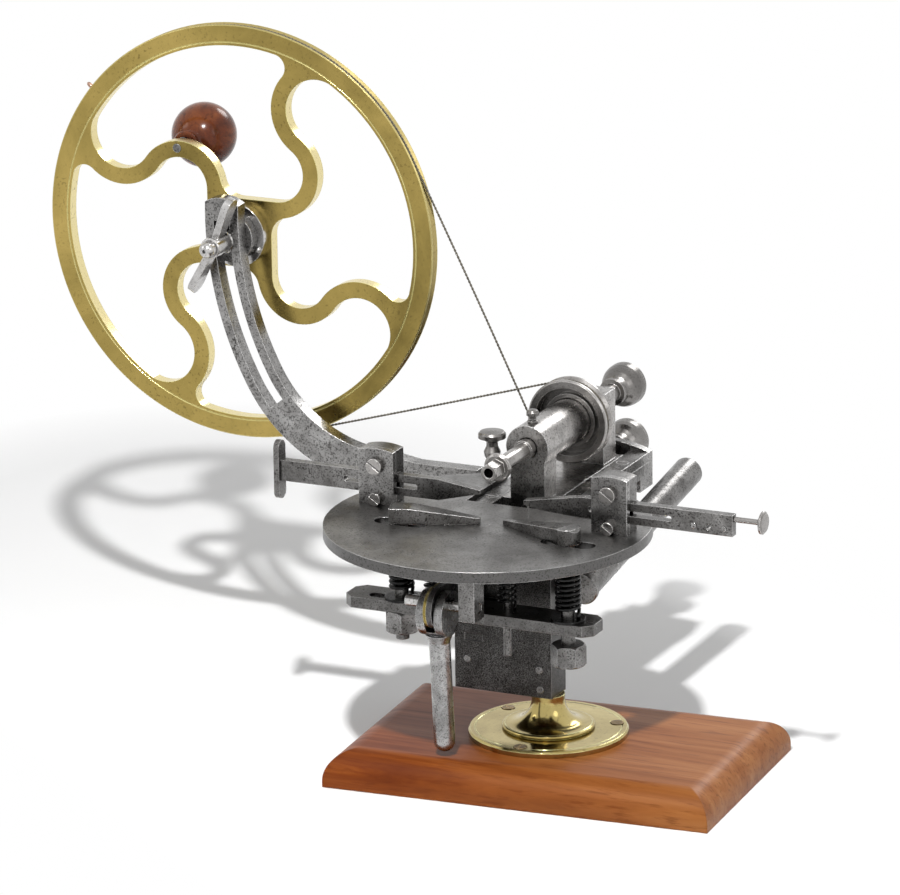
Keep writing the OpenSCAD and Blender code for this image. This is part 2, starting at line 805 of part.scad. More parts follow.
// Fork with two round cheeks, an eccentric between them, and a hanging handle
module cam_lever() {
    cheek_z = cam_z - cheek_drop;
    arm_l = lever_l - cheek_drop - handle_d / 2;
    neck_l = cheek_d / 2 + 4.5;
    color("silver") difference() {
        union() {
            difference() {
                union() {
                    translate([0, lever_y, cheek_z]) bar_x(cheek_d / 2, lever_x - fork_w / 2, lever_x + fork_w / 2);
                    translate([lever_x, lever_y, cheek_z]) rotate([handle_tilt, 0, 0]) {
                        translate([0, 0, -arm_l]) cylinder(r = handle_d / 2, h = arm_l - cheek_d * 0.3);
                        translate([0, 0, -arm_l]) sphere(r = handle_d / 2);
                        translate([0, 0, -neck_l]) cylinder(r1 = handle_d / 2 - 0.4, r2 = fork_w / 2, h = 5);
                    }
                }
                block(
                    [lever_x - fork_slot / 2, lever_y - cheek_d, fork_floor],
                    [lever_x + fork_slot / 2, lever_y + cheek_d, cam_z + cheek_d]
                );
            }
            translate([0, cam_y, cam_rest_z])
                bar_x(cam_d / 2, lever_x - fork_slot / 2 - eps, lever_x + fork_slot / 2 + eps);
        }
        translate([0, lever_y, cam_z])
            bar_x(cam_pin_d / 2 + run_gap, lever_x - fork_w, lever_x + fork_w);
    }
}

module link_outline() {
    difference() {
        union() {
            translate([cam_y, cam_rest_z]) circle(link_eye_r);
            translate([cam_y, bar_z1]) square([link_back - cam_y, cam_rest_z + link_eye_r - bar_z1]);
        }
        translate([cam_y - cam_throw * (1 - cos(30)) / 2, cam_rest_z])
            slot(cam_d + 2 * cam_gap + cam_throw * 0.2, cam_d + 2 * cam_gap);
    }
}

module lift_link() {
    color("dimgray") plate_x(link_x, link_x + link_t) link_outline();
}

module link_liner() {
    color("goldenrod") plate_x(link_x - liner_t, link_x) intersection() {
        link_outline();
        translate([cam_y - 20, bar_z0 - 20]) square([20 + link_eye_r, 60]);
    }
}

// Posts and slides

module post(x) {
    color("gray") translate([x, 0, table_z1]) difference() {
        plate_y(post_y + cap_t, post_back) arched(post_w, post_h, 1.2);
        block(
            [-post_w, post_y + cap_t - 1, slide_z - slide_h / 2 - run_gap],
            [post_w, post_y + cap_t + groove_t, slide_z + slide_h / 2 + run_gap]
        );
        for (z = screw_zs) translate([0, post_y, z]) bar_y(screw_r + seat_gap, 0, cap_t + post_d - 1);
    }
}

module left_post() {
    post(post_xs[0]);
}

module right_post() {
    post(post_xs[1]);
}

module post_caps() {
    color("gray") for (x = post_xs) translate([x, 0, table_z1]) difference() {
        plate_y(post_y, post_y + cap_t) arched(post_w, post_h, 1.2);
        for (z = screw_zs) translate([0, post_y, z]) bar_y(screw_r + seat_gap, -1, cap_t + 1);
    }
}

module post_screws() {
    color("lightgray") for (x = post_xs) for (z = screw_zs)
        translate([x, post_y, table_z1 + z])
            face_screw(cap_t + post_d - 1.5, z > slide_z ? screw_head_r * big_head : screw_head_r);
}

module left_slide_bar() {
    taper = 20;
    z0 = slide_mid - slide_h / 2;
    z1 = slide_mid + slide_h / 2;
    slot_mid = post_xs[0] + 0.7;
    color("dimgray") difference() {
        plate_y(slide_y - slide_t / 2, slide_y + slide_t / 2) difference() {
            polygon([
                [left_end, z0], [left_tip - taper, z0], [left_tip, slide_mid + 0.4],
                [left_tip, slide_mid + 2], [left_tip - taper, z1], [left_end, z1]
            ]);
            translate([slot_mid, slide_mid]) slot(35.4, slide_slot);
        }
    }
}

module left_cross_plate() {
    round_r = cross_d / 2;
    color("dimgray") plate_x(left_end - cross_t, left_end) translate([slide_y, slide_mid])
        rotate(90) slot(cross_h, 2 * round_r);
}

module right_slide_bar() {
    taper = 27;
    z0 = slide_mid - slide_h / 2;
    z1 = slide_mid + slide_h / 2;
    slot_from = post_xs[1] - 11;
    slot_to = right_end - 28;
    color("dimgray") difference() {
        plate_y(slide_y - slide_t / 2, slide_y + slide_t / 2) difference() {
            polygon([
                [right_end, z0], [right_end, z1], [right_tip + taper, z1], [right_tip, slide_mid],
                [right_tip, slide_mid - 2], [right_tip + 8, slide_mid - 3.4], [right_tip + taper, z0]
            ]);
            translate([(slot_from + slot_to) / 2, slide_mid]) slot(slot_to - slot_from, slide_slot);
            translate([(rivet_xs[0] + rivet_xs[1]) / 2, rivet_z]) circle(1.1);
            for (x = rivet_xs) translate([x, rivet_z]) circle(rivet_r + seat_gap);
        }
        translate([0, slide_y, plunger_z]) bar_x(plunger_d / 2 + run_gap, right_end - plunger_bore, right_end + 1);
        translate([right_tip + 1.2, slide_y, slide_mid - 6]) cylinder(r = 0.4 + seat_gap, h = 5);
    }
}

module slide_rivets() {
    color("silver") for (x = rivet_xs) translate([x, 0, rivet_z])
        bar_y(rivet_r, slide_y - slide_t / 2 - 0.3, slide_y + slide_t / 2 + 0.3);
}

module index_pin() {
    low = table_z1 + 0.6;
    color("silver") translate([right_tip + 1.2, slide_y, low]) cylinder(r = 0.4, h = slide_mid - 1.1 - low);
}

module plunger() {
    r = plunger_d / 2;
    out = right_end + plunger_out;
    head_t = 3;
    color("silver") translate([0, slide_y, plunger_z]) {
        bar_x(r, right_end - plunger_in, out + eps);
        translate([out, 0, 0]) rotate([0, 90, 0]) rotate_extrude() polygon([
            [0, 0], [r + 1, 0], [button_d / 2 - 1, 1], [button_d / 2, 1.4], [button_d / 2, 2.2],
            [button_d / 2 - 1, head_t], [0, head_t]
        ]);
    }
}

// Bed and headstock

module bed() {
    x0 = table_x - bed_w / 2;
    x1 = table_x + bed_w / 2;
    lip = carriage_w / 2 + flange_lip + run_gap;
    cove = 7;
    color("gray") difference() {
        block([x0, column_back, bed_z0], [x1, bed_y1, bed_z1 - gib_t]);
        block(
            [table_x - lip, column_back - 1, carriage_z0 - run_gap],
            [table_x + lip, bed_y1 + 1, bed_z1]
        );
        for (side = [-1, 1]) translate([table_x + side * bed_w / 2, 0, bed_z0])
            bar_y(min(cove, bed_t - 1), column_back - 1, bed_y1 - 10);
        at_gib_screws() translate([0, 0, -6]) cylinder(r = screw_r + seat_gap, h = 8);
    }
}

module at_gib_screws() {
    for (side = [-1, 1]) for (y = [column_back + 16, bed_y1 - 19])
        translate([table_x + side * (carriage_w + rail_w) / 2, y, bed_z1 - gib_t]) children();
}

module gib_strips() {
    color("darkgray") difference() {
        for (side = [-1, 1]) {
            mid = table_x + side * (carriage_w + rail_w) / 2;
            half = rail_w / 2;
            inner = run_gap;
            block(
                [mid - half + (side > 0 ? inner : 0), column_back, bed_z1 - gib_t],
                [mid + half - (side < 0 ? inner : 0), bed_y1, bed_z1]
            );
        }
        at_gib_screws() {
            translate([0, 0, -1]) cylinder(r = screw_r + seat_gap, h = gib_t + 2);
            translate([0, 0, gib_t - 1.6]) cylinder(r = screw_head_r + 0.1, h = 3);
        }
    }
}

module gib_screws() {
    color("lightgray") at_gib_screws() difference() {
        union() {
            translate([0, 0, -5]) cylinder(r = screw_r, h = gib_t + 4);
            translate([0, 0, gib_t - 1.6 + seat_gap]) cylinder(r = screw_head_r, h = 1.6);
        }
        translate([0, 0, gib_t]) cube([8, 0.7, 1.2], center = true);
    }
}

module bed_end_plate() {
    rise = 3.8;
    color("gray") difference() {
        translate([table_x, 0, bed_z0]) plate_y(bed_y1, bed_y1 + end_plate_t)
            arched(bed_w, bed_z1 - bed_z0 + rise, rise);
        translate([table_x, 0, feed_z]) bar_y(feed_d / 2 + run_gap, bed_y1 - 1, bed_y1 + end_plate_t + 1);
    }
}

// Waisted upright with a round top about the spindle
module upright_outline(low) {
    r = upright_w / 2;
    h = axis_z - low;
    waist = r - 1.9;
    fillet = 6;
    fall = sqrt(pow(r + fillet, 2) - pow(waist + fillet, 2));
    head = [0, h];
    translate(head) circle(r);
    translate([-waist, 0]) square([2 * waist, h]);
    for (side = [-1, 1]) {
        centre = [side * (waist + fillet), h - fall];
        difference() {
            polygon([head, [0, h - fall], centre, head + (r - 0.5) * unit(centre - head)]);
            translate(centre) circle(fillet);
        }
    }
}

module headstock() {
    low = bed_z1 - eps;
    half = carriage_w / 2 - run_gap;
    lip = carriage_w / 2 + flange_lip;
    boss_end = front_y + upright_t + boss_l;
    j = journal_d / 2;
    top_z = axis_z + 8.5;
    color("silver") difference() {
        union() {
            block([table_x - half, front_y, carriage_z0], [table_x + half, carriage_y1, bed_z1]);
            block([table_x - lip, front_y, carriage_z0], [table_x + lip, carriage_y1, bed_z1 - gib_t - run_gap]);
            translate([table_x, 0, low]) plate_y(front_y, front_y + upright_t) upright_outline(low);
            translate([table_x, 0, axis_z]) bar_y(upright_w / 2, front_y + eps, boss_end);
            block(
                [table_x - upright_w / 2, rear_y, low],
                [table_x + upright_w / 2, rear_y + rear_upright_t, top_z]
            );
        }
        translate([table_x, 0, axis_z]) {
            bar_y(j + air_gap, front_y - 1, front_y + bush_lip + 1);
            bar_y(bush_r + seat_gap, front_y + bush_lip, boss_end + 1);
            bar_y(bush_r + seat_gap, rear_y - 1, rear_y + rear_upright_t + 1);
        }
        translate([table_x, 0, feed_z]) bar_y(feed_d / 2 + 0.1, front_y + 20, carriage_y1 + 1);
        translate([table_x, front_y + upright_t / 2, axis_z]) cylinder(r = 1 + seat_gap, h = upright_w);
    }
}

module bush(y0, y1) {
    color("darkgoldenrod") translate([table_x, 0, axis_z]) difference() {
        bar_y(bush_r, y0, y1);
        bar_y(journal_d / 2 + run_gap, y0 - 1, y1 + 1);
    }
}

module front_bush() {
    bush(front_y + bush_lip + seat_gap, front_y + upright_t + boss_l);
}

module rear_bush() {
    bush(rear_y, rear_y + rear_upright_t);
}

module oil_cap() {
    top = upright_w / 2;
    color("silver") translate([table_x, front_y + upright_t / 2, axis_z]) {
        translate([0, 0, bush_r + 0.2]) cylinder(r = 1, h = top - bush_r + 1);
        translate([0, 0, top + seat_gap]) rotate_extrude() polygon([
            [0, 0], [2.4, 0], [2.4, 0.8], [1.5, 1.4], [1.5, 2.6], [2.8, 3.2], [2.8, 4.6], [2, 5.6], [0, 6]
        ]);
    }
}

// Spindle: hollow nose, slim shaft, journals
module spindle() {
    j = journal_d / 2;
    s = shaft_d / 2;
    rear = rear_y + rear_upright_t + knob_l * 0.7;
    color("lightgray") translate([table_x, 0, axis_z]) difference() {
        union() {
            bar_y(3.5, nose_y, nose_y + nose_l);
            rotate([0, 20, 0]) translate([0, nose_y + 1, 0]) rotate([-90, 0, 0])
                cylinder(r = 4.1, h = nose_l - 1, $fn = 6);
            translate([0, nose_y + nose_l, 0]) turned_y([
                [0, -0.2], [5.4, -0.2], [6.2, 0.5], [6.2, 1.6], [5.7, 2], [5.7, 2.6], [5, 3.2], [0, 3.2]
            ]);
            bar_y(s, nose_y + nose_l, front_y);
            bar_y(j, front_y - 4.6, rear_y + rear_upright_t + 0.4);
            bar_y(s - 0.4, rear_y + rear_upright_t, rear);
        }
        bar_y(nose_bore_d / 2, nose_y - 1, nose_y + nose_bore_l);
    }
}

// Cup-shaped pulley with a grooved rim
module drive_pulley() {
    r = pulley_d / 2;
    g = groove_y - pulley_front;
    l = pulley_back - pulley_front;
    low = cord_pulley_r - cord_r - cord_seat;
    flat = cord_r + cord_seat;
    depth = r - low;
    cup_r = r - 3.6;
    cup_d = 5.4;
    ring_r = upright_w / 2 + 2.2;
    color("silver") translate([table_x, pulley_front, axis_z]) difference() {
        turned_y([
            [0, 0], [r - 0.6, 0], [r, 0.6], [r, g - flat - depth], [low, g - flat], [low, g + flat],
            [r, g + flat + depth], [r, g + flat + depth + 1], [r - 2.4, g + flat + depth + 2],
            [r - 3, l - 3], [r * 0.5, l], [0, l]
        ]);
        difference() {
            bar_y(cup_r, -1, cup_d);
            bar_y(ring_r, cup_d - 2.6, cup_d + 1);
        }
        bar_y(upright_w / 2 + air_gap, -1, cup_d - 1);
        bar_y(journal_d / 2 + seat_gap, -1, l + 1);
    }
}

module draw_knob() {
    color("silver") translate([table_x, rear_y + rear_upright_t + 0.5, axis_z])
        knob(knob_l, knob_d, shaft_d / 2 - 0.4 + seat_gap);
}

module feed_screw() {
    color("gray") translate([table_x, 0, feed_z]) {
        bar_y(feed_d / 2, front_y + 34, bed_y1 + end_plate_t + feed_knob_l * 0.6);
        bar_y(feed_collar_r, bed_y1 - 1.5, bed_y1 - 0.2);
    }
}

module feed_knob() {
    color("silver") translate([table_x, bed_y1 + end_plate_t + 0.3, feed_z])
        knob(feed_knob_l, knob_d, feed_d / 2 + seat_gap);
}

// Curved arm that carries the wheel

module arm_outline() {
    difference() {
        union() {
            strip(curve_c, arm_r, arm_w, axle_angle - 0.5, arm_bend_angle + 0.1);
            intersection() {
                strip(curve_c, arm_r, arm_w, 170, axle_angle);
                translate(axle_xz + crown_lift) circle(crown_r);
            }
            strip(bend_c, arm_bend_r, arm_w, arm_bend_angle, 270.2);
            polygon([
                [bend_x, foot_mid - arm_w / 2], [bend_x + 15, foot_z0], [foot_end, foot_z0],
                [foot_end, foot_z0 + foot_h], [bend_x + 15, foot_z0 + foot_h], [bend_x, foot_mid + arm_w / 2]
            ]);
            translate([foot_end - 1, foot_z0]) square([thumb_x + 7 - foot_end, tongue_h]);
        }
        strip(curve_c, arm_r, arm_slot, axle_angle - 3.5, arm_bend_angle + 0.1);
        strip(bend_c, arm_bend_r, arm_slot, arm_bend_angle, slot_end_angle);
    }
}

module wheel_arm() {
    color("gray") difference() {
        plate_y(arm_front, arm_back) arm_outline();
        translate([thumb_x, (arm_front + arm_back) / 2, foot_z0 - 1]) cylinder(r = 1.9, h = tongue_h + 2);
    }
}

module arm_bracket() {
    mid = (arm_front + arm_back) / 2;
    color("dimgray") difference() {
        block(
            [bracket_x0, arm_front - 1.5, foot_z0 - bracket_h],
            [table_x - bed_w / 2, arm_back + 1.5, foot_z0]
        );
        translate([thumb_x, mid, foot_z0 - bracket_h - 1]) cylinder(r = 1.8 + run_gap, h = bracket_h + 2);
    }
}

// Thumb screw with a beaded stem and a flat round head
module thumb_screw() {
    seat = foot_z0 + tongue_h + 0.1;
    color("silver") translate([thumb_x, (arm_front + arm_back) / 2, seat]) {
        translate([0, 0, -tongue_h - bracket_h + 1]) cylinder(r = 1.8, h = tongue_h + bracket_h);
        rotate_extrude() polygon([
            [0, 0], [3.6, 0], [3.6, 1.6], [2, 3], [2, 11.5], [3.4, 14], [3.8, 16], [2.6, 18.6], [2.6, 20.4],
            [4, 21.6], [6.2, 22.4], [6.2, 24.2], [5.4, 25.2], [0, 25.6]
        ]);
    }
}

// Axle, collar, nuts

module at_axle() {
    translate([axle_xz[0], 0, axle_xz[1]]) children();
}

module wheel_axle() {
    r = axle_d / 2;
    color("silver") at_axle() difference() {
        union() {
            bar_y(r, axle_front + 3, wheel_back + 7.4);
            translate([0, axle_front + 3, 0]) sphere(r = r);
        }
        bar_y(0.9, axle_front - 2, axle_front + 1.6);
    }
}

module axle_collar() {
    color("dimgray") at_axle() difference() {
        bar_y(hub_plate_d / 2 - 3.4, arm_back, arm_back + collar_t);
        bar_y(axle_d / 2 + seat_gap, arm_back - 1, arm_back + collar_t + 1);
    }
}

module axle_nut() {
    color("gray") at_axle() difference() {
        union() {
            bar_y(axle_d / 2 + 3.6, wheel_back + 0.2, wheel_back + 1.6);
            translate([0, wheel_back + 1.5, 0]) rotate([-90, 0, 0]) cylinder(r = axle_d / 2 + 3, h = 4.6, $fn = 6);
        }
        bar_y(axle_d / 2 + seat_gap, wheel_back - 1, wheel_back + 9);
    }
}

module wing_lobe(reach, w) {
    polygon([[2, -2.6], [reach - w / 2, -w / 2], [reach - w / 2, w / 2], [2, 2.6]]);
    translate([reach - w / 2, 0]) circle(w / 2);
}

module wing_nut() {
    front = arm_front - wing_l;
    color("silver") at_axle() difference() {
        union() {
            translate([0, front, 0]) turned_y([
                [0, 0], [4.3, 0], [4.7, 0.5], [5, wing_l - 1], [5.6, wing_l - 0.2], [0, wing_l - 0.2]
            ]);
            for (a = [68, 242]) rotate([0, -a, 0]) translate([0, front + 5, -wing_t / 2])
                linear_extrude(wing_t) wing_lobe(24.5, 9.4);
        }
        bar_y(axle_d / 2 + run_gap, front - 1, arm_front + 1);
    }
}

// Hand wheel with four S-shaped spokes

module spoke() {
    far = [rim_in - rim_fillet, 0];
    reach = spoke_bend + spoke_w / 2 + rim_fillet;
    swing = acos((spoke_out_at * spoke_out_at + far[0] * far[0] - reach * reach) / (2 * spoke_out_at * far[0]));
    fillet_a = spoke_out_angle + swing;
    fillet_c = far[0] * [cos(fillet_a), sin(fillet_a)];
    touch = spoke_out + (spoke_bend + spoke_w / 2 - 1) * unit(fillet_c - spoke_out);
    root = (rim_in + 1.2) * [cos(spoke_out_angle + 9), sin(spoke_out_angle + 9)];
    strip(spoke_in, spoke_in_r, spoke_w, -90.5, spoke_join + 1.5);
    strip(spoke_out, spoke_bend, spoke_w, spoke_out_angle - 5, spoke_join + 181.5);
    difference() {
        polygon([(rim_in + 1) * [cos(fillet_a), sin(fillet_a)], touch, root]);
        translate(fillet_c) circle(rim_fillet);
    }
}

// Web at the hub: from one spoke's inner edge, by a fillet, to the next spoke's outer edge
module hub_web() {
    web_x = spoke_in[1] - spoke_in_r + spoke_w / 2;
    outer = spoke_in_r + spoke_w / 2;
    fx = web_x + hub_fillet;
    fz = spoke_in[1] - sqrt(pow(outer + hub_fillet, 2) - pow(fx - spoke_in[0], 2));
    touch = spoke_in + (outer - 1) * unit([fx, fz] - spoke_in);
    difference() {
        polygon([
            [0, 0], [web_x - spoke_w, -spoke_in[0]], [web_x, -spoke_in[0]], [web_x, fz], [fx, fz],
            touch, [0, touch[1]]
        ]);
        translate([fx, fz]) circle(hub_fillet);
    }
}

module drive_wheel() {
    g = wheel_t / 2;
    low = cord_wheel_r - cord_r - cord_seat;
    flat = cord_r + cord_seat;
    depth = wheel_r - low;
    line = 0.5;
    color("goldenrod") at_axle() difference() {
        union() {
            translate([0, wheel_front, 0]) turned_y([
                [rim_in, 0], [rim_in + 1.2, 0], [rim_in + 1.2 + line / 2, 0.3], [rim_in + 1.2 + line, 0],
                [wheel_r - 0.4, 0], [wheel_r, 0.4], [wheel_r, g - flat - depth], [low, g - flat],
                [low, g + flat], [wheel_r, g + flat + depth], [wheel_r, wheel_t - 0.4],
                [wheel_r - 0.4, wheel_t], [rim_in, wheel_t]
            ]);
            plate_y(wheel_front, wheel_back) {
                intersection() {
                    for (k = [0 : 3]) rotate(90 * k) {
                        spoke();
                        hub_web();
                    }
                    circle(rim_in + 0.6);
                }
                circle(hub_r);
            }
        }
        bar_y(axle_d / 2 + run_gap, wheel_front - 1, wheel_back + 1);
        translate([ball_xz[0] - axle_xz[0], 0, ball_xz[1] - axle_xz[1]])
            bar_y(2 + seat_gap, wheel_front - 1, wheel_back + 1);
        at_hub_rivets() bar_y(1.3 + seat_gap, wheel_front - 1, wheel_back - 2);
    }
}

module at_hub_rivets() {
    for (a = [26, 146, 266]) rotate([0, a, 0]) translate([hub_plate_d / 2 - 1.8, 0, 0]) children();
}

module hub_plate() {
    y0 = wheel_front - hub_plate_t;
    color("gray") at_axle() {
        difference() {
            bar_y(hub_plate_d / 2, y0, wheel_front);
            bar_y(axle_d / 2 + run_gap, y0 - 1, wheel_front + 1);
        }
        at_hub_rivets() {
            bar_y(1.3, y0, wheel_back - 2.5);
            translate([0, y0, 0]) sphere(r = 1.3);
        }
    }
}

module knob_pin() {
    color("silver") translate([ball_xz[0], 0, ball_xz[1]]) {
        bar_y(2, wheel_front - 0.2, ball_y + ball_d * 0.36);
        bar_y(3.6, wheel_back, wheel_back + 1.8);
    }
}

module ball_knob() {
    r = ball_d / 2;
    color("sienna") translate([ball_xz[0], 0, ball_xz[1]]) difference() {
        union() {
            translate([0, ball_y, 0]) sphere(r = r);
            translate([0, wheel_back + 2, 0]) turned_y([
                [0, 0], [5.4, 0], [6, 1], [5.2, 2.4], [5, 4], [6.4, ball_neck], [0, ball_neck]
            ]);
        }
        bar_y(2 + run_gap, wheel_back, ball_y + ball_d * 0.36 + 0.3);
    }
}

// Drive cord: two straight runs that cross, and a wrap round each groove

cord_sides = 8;
wheel_steps = 44;
pulley_steps = 18;
run_steps = 8;
function on_wheel(a) = let (p = axle_xz + cord_wheel_r * [cos(a), sin(a)]) [p[0], groove_y, p[1]];
function on_pulley(a) = let (p = pulley_xz + cord_pulley_r * [cos(a), sin(a)]) [p[0], groove_y, p[1]];
function cord_run(p, q, sway) =
    [for (i = [1 : run_steps - 1]) let (t = i / run_steps) p + (q - p) * t + [0, sway * sin(180 * t), 0]];
cord_points = concat(
    cord_run(on_wheel(cord_from), on_pulley(cord_from + 180), cord_sway),
    [for (i = [0 : pulley_steps]) on_pulley(cord_from + 180 + cord_wrap * i / pulley_steps)],
    cord_run(on_pulley(cord_to + 180), on_wheel(cord_to), -cord_sway),
    [for (i = [0 : wheel_steps]) on_wheel(cord_to - cord_wrap * i / wheel_steps)]
);

module drive_cord() {
    n = len(cord_points);
    color("darkslategray") polyhedron(
        points = [for (i = [0 : n - 1])
            let (t = unit(cord_points[(i + 1) % n] - cord_points[(i + n - 1) % n]))
            each ring(cord_points[i], t, unit(cross([0, 1, 0], t)), cord_r, cord_sides)],
        faces = wall_faces(n, cord_sides, true)
    );
}

// Rear handle and the lug that carries it

module along_handle() {
    translate(rear_front) rotate([rear_handle_slope, 0, 0]) children();
}

module rear_handle() {
    r = rear_handle_d / 2;
    color("gray") along_handle() turned_y([
        [0, 0], [r + 0.4, 0], [r + 1, 0.6], [r + 1, 2.4], [r + 0.4, 3], [r, 3],
        [r, rear_handle_l - 2], [r - 2, rear_handle_l], [0, rear_handle_l]
    ]);
}

module handle_lug() {
    half = rear_handle_d / 2 - 0.6;
    color("dimgray") difference() {
        block(
            [column_right, lug_y, rear_front[2] - half + 1.4],
            [rear_x, lug_y + 12, rear_front[2] + half + 1.4]
        );
        along_handle() bar_y(rear_handle_d / 2 + seat_gap, 3, rear_handle_l);
        along_handle() bar_y(rear_handle_d / 2 + 1.2, -1, 3.1);
    }
}

base_board();
pedestal();
pedestal_screws();
column();
column_pins();
table();
clamp_bar();
finger_bolts();
bolt_nuts();
spring_washers();
left_finger();
right_finger();
clamp_springs();
guide_pins();
guide_springs();
cam_hanger();
cam_pin();
cam_lever();
lift_link();
link_liner();
left_post();
right_post();
post_caps();
post_screws();
left_slide_bar();
left_cross_plate();
right_slide_bar();
slide_rivets();
index_pin();
plunger();
bed();
gib_strips();
gib_screws();
bed_end_plate();
headstock();
front_bush();
rear_bush();
oil_cap();
spindle();
drive_pulley();
draw_knob();
feed_screw();
feed_knob();
wheel_arm();
arm_bracket();
thumb_screw();
wheel_axle();
axle_collar();
axle_nut();
wing_nut();
drive_wheel();
hub_plate();
knob_pin();
ball_knob();
drive_cord();
rear_handle();
handle_lug();
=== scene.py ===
import json
import math

import bpy
import bmesh
from mathutils import Matrix, Vector


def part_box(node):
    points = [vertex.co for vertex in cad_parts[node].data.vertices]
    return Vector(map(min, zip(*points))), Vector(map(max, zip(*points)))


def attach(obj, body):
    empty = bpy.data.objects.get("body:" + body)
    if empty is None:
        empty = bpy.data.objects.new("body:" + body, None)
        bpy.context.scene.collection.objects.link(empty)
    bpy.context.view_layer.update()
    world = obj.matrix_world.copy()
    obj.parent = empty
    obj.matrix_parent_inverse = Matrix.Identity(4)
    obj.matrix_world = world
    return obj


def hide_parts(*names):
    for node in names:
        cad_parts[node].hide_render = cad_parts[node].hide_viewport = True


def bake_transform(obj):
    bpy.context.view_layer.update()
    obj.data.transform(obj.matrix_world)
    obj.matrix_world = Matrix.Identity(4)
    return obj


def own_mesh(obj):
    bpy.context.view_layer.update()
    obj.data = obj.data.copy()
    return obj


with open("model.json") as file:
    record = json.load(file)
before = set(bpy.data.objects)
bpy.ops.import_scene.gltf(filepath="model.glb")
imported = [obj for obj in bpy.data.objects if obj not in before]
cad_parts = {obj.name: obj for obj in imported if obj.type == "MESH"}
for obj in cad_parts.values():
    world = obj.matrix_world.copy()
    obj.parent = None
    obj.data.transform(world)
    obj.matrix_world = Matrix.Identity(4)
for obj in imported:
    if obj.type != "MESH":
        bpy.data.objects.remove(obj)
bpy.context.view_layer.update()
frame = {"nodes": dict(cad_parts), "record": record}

nodes = frame["nodes"]
scene = bpy.context.scene
MM = 0.001


# Shader helpers

def new_material(name):
    material = bpy.data.materials.new(name)
    material.use_nodes = True
    nt = material.node_tree
    nt.nodes.clear()
    out = nt.nodes.new("ShaderNodeOutputMaterial")
    bsdf = nt.nodes.new("ShaderNodeBsdfPrincipled")
    nt.links.new(bsdf.outputs[0], out.inputs[0])
    return material, nt, bsdf


def coords(nt, scale=(1, 1, 1)):
    tc = nt.nodes.new("ShaderNodeTexCoord")
    mapping = nt.nodes.new("ShaderNodeMapping")
    mapping.inputs["Scale"].default_value = scale
    nt.links.new(tc.outputs["Object"], mapping.inputs[0])
    return mapping.outputs[0]


def noise(nt, vec, scale, detail=6.0, rough=0.6, distort=0.0):
    n = nt.nodes.new("ShaderNodeTexNoise")
    n.inputs["Scale"].default_value = scale
    n.inputs["Detail"].default_value = detail
    n.inputs["Roughness"].default_value = rough
    n.inputs["Distortion"].default_value = distort
    nt.links.new(vec, n.inputs["Vector"])
    return n.outputs["Fac"]


def ramp(nt, fac, stops):
    r = nt.nodes.new("ShaderNodeValToRGB")
    elements = r.color_ramp.elements
    while len(elements) < len(stops):
        elements.new(0.5)
    for element, (place, colour) in zip(elements, stops):
        element.position = place
        element.color = (*colour, 1)
    nt.links.new(fac, r.inputs[0])
    return r.outputs[0]


def remap(nt, fac, to_lo, to_hi, from_lo=0.3, from_hi=0.7):
    r = nt.nodes.new("ShaderNodeMapRange")
    r.inputs["From Min"].default_value = from_lo
    r.inputs["From Max"].default_value = from_hi
    r.inputs["To Min"].default_value = to_lo
    r.inputs["To Max"].default_value = to_hi
    nt.links.new(fac, r.inputs["Value"])
    return r.outputs[0]


def mix(nt, fac, a, b):
    n = nt.nodes.new("ShaderNodeMix")
    n.data_type = "RGBA"
    nt.links.new(fac, n.inputs[0])
    for sock, v in ((n.inputs[6], a), (n.inputs[7], b)):
        if isinstance(v, tuple):
            sock.default_value = (*v, 1)
        else:
            nt.links.new(v, sock)
    return n.outputs[2]


def maths(nt, operation, a, b=None, clamp=False):
    n = nt.nodes.new("ShaderNodeMath")
    n.operation = operation
    n.use_clamp = clamp
    nt.links.new(a, n.inputs[0])
    if b is not None:
        nt.links.new(b, n.inputs[1])
    return n.outputs[0]


def vector_maths(nt, operation, a, b):
    """Vector node on a socket and either a fixed vector or a second socket."""
    n = nt.nodes.new("ShaderNodeVectorMath")
    n.operation = operation
    nt.links.new(a, n.inputs[0])
    if isinstance(b, Vector):
        n.inputs[1].default_value = b
    else:
        nt.links.new(b, n.inputs["Scale"] if operation == "SCALE" else n.inputs[1])
    return n.outputs


def seen(nt):
    """1 for rays from the camera and for what shows in metal or glass, 0 for light on the object."""
    path = nt.nodes.new("ShaderNodeLightPath")
    total = path.outputs["Is Camera Ray"]
    for kind in ("Is Glossy Ray", "Is Transmission Ray"):
        total = maths(nt, "ADD", total, path.outputs[kind], clamp=True)
    return total


# Edges paler from abrasion and a painted highlight, painted shade in corners, painted light and shade by
# facing

LOOKUP_SAMPLES = 4
EDGE_ROUND = 0.5 * MM
WEAR_AND_HIGHLIGHT_LEAN = (0.86, 0.985)
CORNER_SHADE_REACH = 5 * MM
CORNER_SHADE_SPAN = (0.25, 0.85)
FACE_SPAN = (0.5, 0.8)


def rounded(nt, radius):
    bevel = nt.nodes.new("ShaderNodeBevel")
    bevel.samples = LOOKUP_SAMPLES
    bevel.inputs["Radius"].default_value = radius
    return bevel.outputs[0]


def edge_wear_and_highlight_mask(nt, normal):
    """How far the rounded edge's normal leans from the face's: high along edges, where abrasion and a
    painted highlight make the colour paler.
    """
    geo = nt.nodes.new("ShaderNodeNewGeometry")
    dot = vector_maths(nt, "DOT_PRODUCT", normal, geo.outputs["Normal"])
    return remap(nt, dot["Value"], 1.0, 0.0, *WEAR_AND_HIGHLIGHT_LEAN)


def bumped(nt, bsdf, height, strength, distance, normal):
    b = nt.nodes.new("ShaderNodeBump")
    b.inputs["Strength"].default_value = strength
    b.inputs["Distance"].default_value = distance
    nt.links.new(height, b.inputs["Height"])
    nt.links.new(normal, b.inputs["Normal"])
    nt.links.new(b.outputs[0], bsdf.inputs["Normal"])


